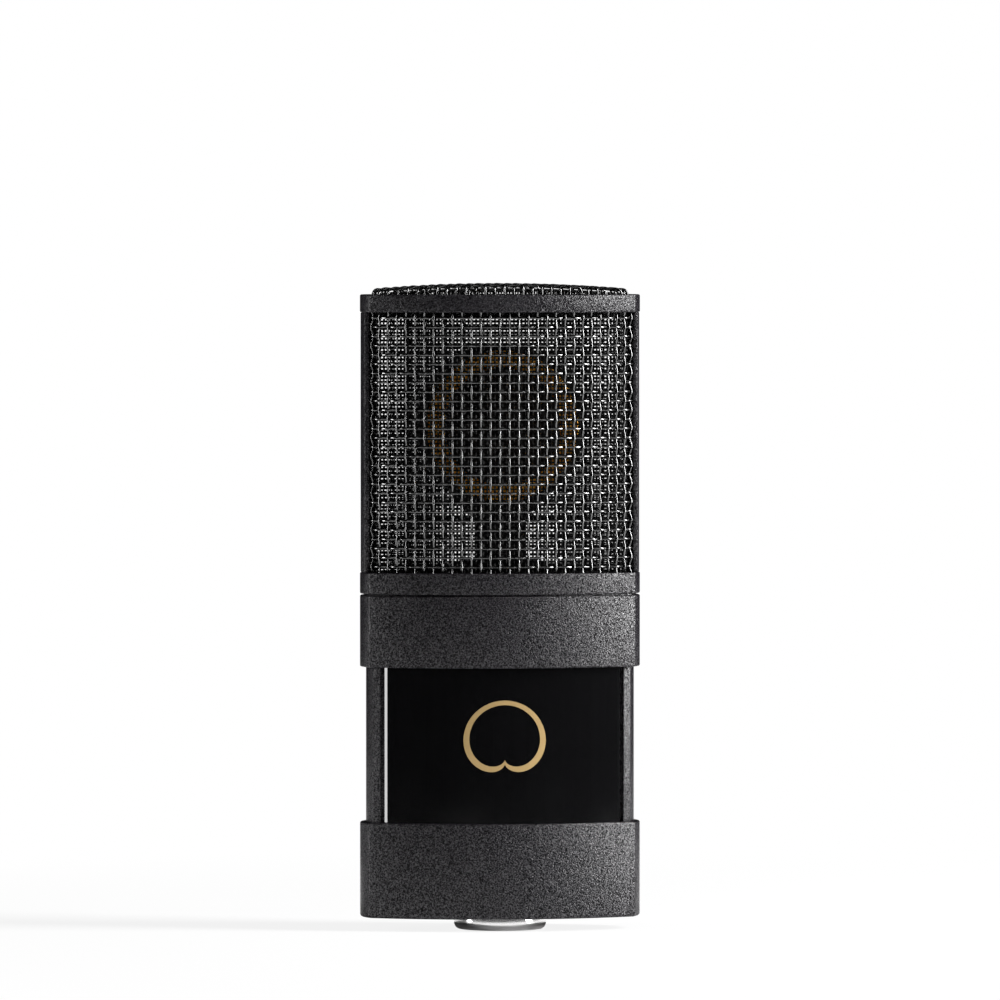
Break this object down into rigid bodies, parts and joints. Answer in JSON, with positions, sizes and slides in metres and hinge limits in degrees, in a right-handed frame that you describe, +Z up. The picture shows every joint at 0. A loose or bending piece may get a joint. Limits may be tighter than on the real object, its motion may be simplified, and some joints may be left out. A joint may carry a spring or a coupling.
{
  "type": "side-address condenser microphone",
  "caption": "Flat oval side-address studio microphone with a woven wire head, a round capsule inside, two body collars, a gloss panel and a male XLR socket underneath.",
  "frame": {"origin": "centre of the XLR ring's lower rim, on which the microphone stands", "axes": "+Z up through the head, -Y to the front that is spoken into, +X to the right seen from the front"},
  "size_m": [0.063, 0.028, 0.145],
  "materials": {
    "textured_paint": "black fine-texture powder coat",
    "gloss_panel": "polished black acrylic",
    "mark_gold": "gold foil",
    "coarse_wire": "black lacquered steel wire",
    "fine_wire": "black lacquered fine wire",
    "capsule_black": "black acetal",
    "cradle_black": "black anodised",
    "ring_brass": "turned brass",
    "film_gold": "gold-sputtered film",
    "spacer_film": "amber film",
    "rubber_black": "moulded rubber",
    "screw_steel": "zinc plated",
    "screw_black": "black oxide",
    "chassis_alloy": "machined",
    "board_laminate": "glass-epoxy laminate",
    "film_cap_red": "moulded box",
    "can_sleeve": "shrink-sleeved can",
    "resistor_blue": "lacquered",
    "gate_glass": "glass-coated",
    "epoxy_black": "moulded epoxy",
    "terminal_white": "fluoropolymer",
    "lead_red": "silicone insulation",
    "lead_tinned": "stranded lead",
    "satin_nickel": "satin nickel plate",
    "contact_silver": "silver plate"
  },
  "bodies": {
    "root": {"head_base_ring": "textured_paint", "head_post_left": "textured_paint", "head_post_right": "textured_paint", "top_ring": "textured_paint", "front_outer_grille": "coarse_wire", "rear_outer_grille": "coarse_wire", "top_outer_grille": "coarse_wire", "front_inner_grille": "fine_wire", "rear_inner_grille": "fine_wire", "top_inner_grille": "fine_wire", "capsule_housing": "capsule_black", "capsule_backplate": "ring_brass", "diaphragm_spacer": "spacer_film", "front_diaphragm": "film_gold", "front_clamp_ring": "ring_brass", "clamp_ring_screws": "ring_brass", "rear_plate": "ring_brass", "rear_retaining_ring": "capsule_black", "capsule_cradle": "cradle_black", "cradle_screw": "screw_steel", "isolation_pad": "rubber_black", "stem_screws": "screw_steel", "capsule_deck": "cradle_black", "head_screws": "screw_steel", "capsule_lead": "lead_red", "upper_collar": "textured_paint", "waist_shell": "textured_paint", "lower_collar": "textured_paint", "front_panel": "gloss_panel", "rear_panel": "gloss_panel", "pattern_mark": "mark_gold", "chassis_rails": "chassis_alloy", "rail_screws": "screw_steel", "base_screws": "screw_black", "circuit_board": "board_laminate", "board_screws": "screw_steel", "film_capacitors": "film_cap_red", "electrolytic_capacitors": "can_sleeve", "resistors": "resistor_blue", "transistors": "epoxy_black", "gate_resistor": "gate_glass", "lead_terminals": "terminal_white", "output_leads": "lead_tinned", "xlr_barrel": "satin_nickel", "xlr_nut": "satin_nickel", "xlr_insert": "capsule_black", "xlr_lock_screw": "screw_steel", "contact_pins": "contact_silver"}
  },
  "joints": []
}
